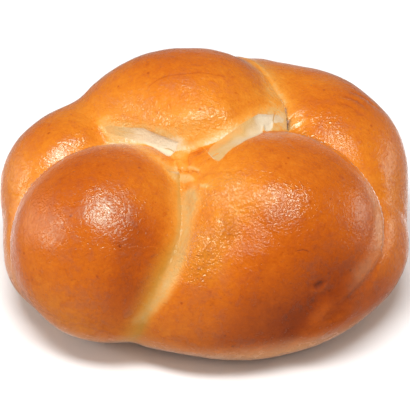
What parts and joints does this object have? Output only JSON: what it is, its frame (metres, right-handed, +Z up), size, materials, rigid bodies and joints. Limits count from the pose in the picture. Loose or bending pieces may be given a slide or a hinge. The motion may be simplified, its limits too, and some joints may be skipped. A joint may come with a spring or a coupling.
{
  "type": "sweet bread bun",
  "caption": "Knotted sweet bread bun: fat soft ropes of dough crossed and baked into one rounded loaf, with a glossy browned crust, pale seams and a flat base.",
  "frame": {"origin": "on the table under the middle of the bun", "axes": "+X to the bun's right as seen from the front, along its longest side; -Y towards the front, where two ropes meet; +Z up"},
  "size_m": [0.1188, 0.1002, 0.0601],
  "materials": {
    "crust": "egg-washed bread crust, golden to reddish brown, softly glossy, paler in the seams"
  },
  "bodies": {
    "root": {"bun": "crust"}
  },
  "joints": []
}
